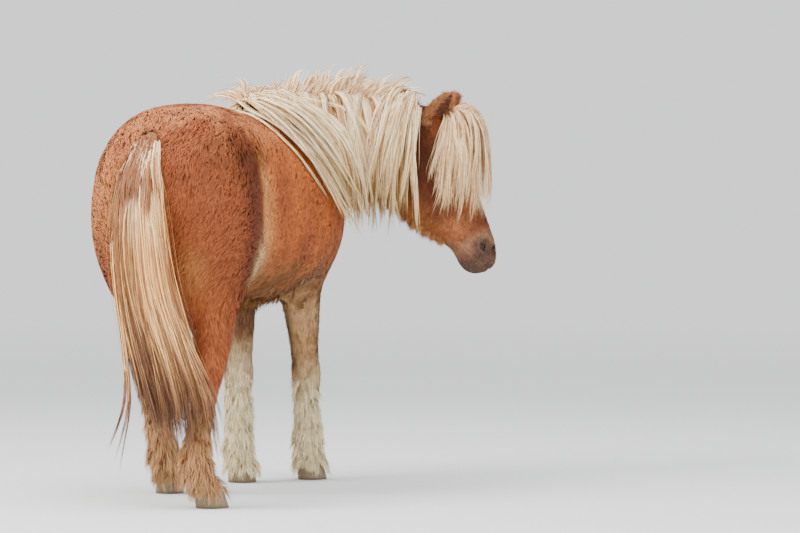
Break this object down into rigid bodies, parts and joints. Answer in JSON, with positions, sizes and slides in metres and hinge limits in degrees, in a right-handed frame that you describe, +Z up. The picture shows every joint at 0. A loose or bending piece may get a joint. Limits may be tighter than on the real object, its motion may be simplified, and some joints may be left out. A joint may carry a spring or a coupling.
{
  "type": "shetland pony",
  "caption": "Life-size standing pony with its head turned and lowered to graze, a full mane, forelock and long tail, on flat hooves.",
  "frame": {"origin": "middle of the bounding box at the level of the soles", "axes": "+X forwards along the trunk, +Y to the pony's left, +Z up"},
  "size_m": [1.2906, 0.8012, 1.0882],
  "materials": {
    "coat": "short chestnut hair",
    "mane_hair": "long flaxen hair",
    "tail_hair": "long flaxen hair, darker below",
    "stocking": "pale hair with long feather",
    "horn": "dull horn",
    "eye": "wet gloss"
  },
  "bodies": {
    "root": {"ear_left": "coat", "ear_right": "coat", "eye_left": "eye", "eye_right": "eye", "head": "coat", "hoof_fore_left": "horn", "hoof_fore_right": "horn", "hoof_hind_left": "horn", "hoof_hind_right": "horn", "leg_fore_left_lower": "stocking", "leg_fore_left_upper": "coat", "leg_fore_right_lower": "stocking", "leg_fore_right_upper": "coat", "leg_hind_left_lower": "stocking", "leg_hind_left_upper": "coat", "leg_hind_right_lower": "stocking", "leg_hind_right_upper": "coat", "neck_base": "mane_hair", "neck_upper": "mane_hair", "tail": "tail_hair", "torso": "coat"}
  },
  "joints": []
}
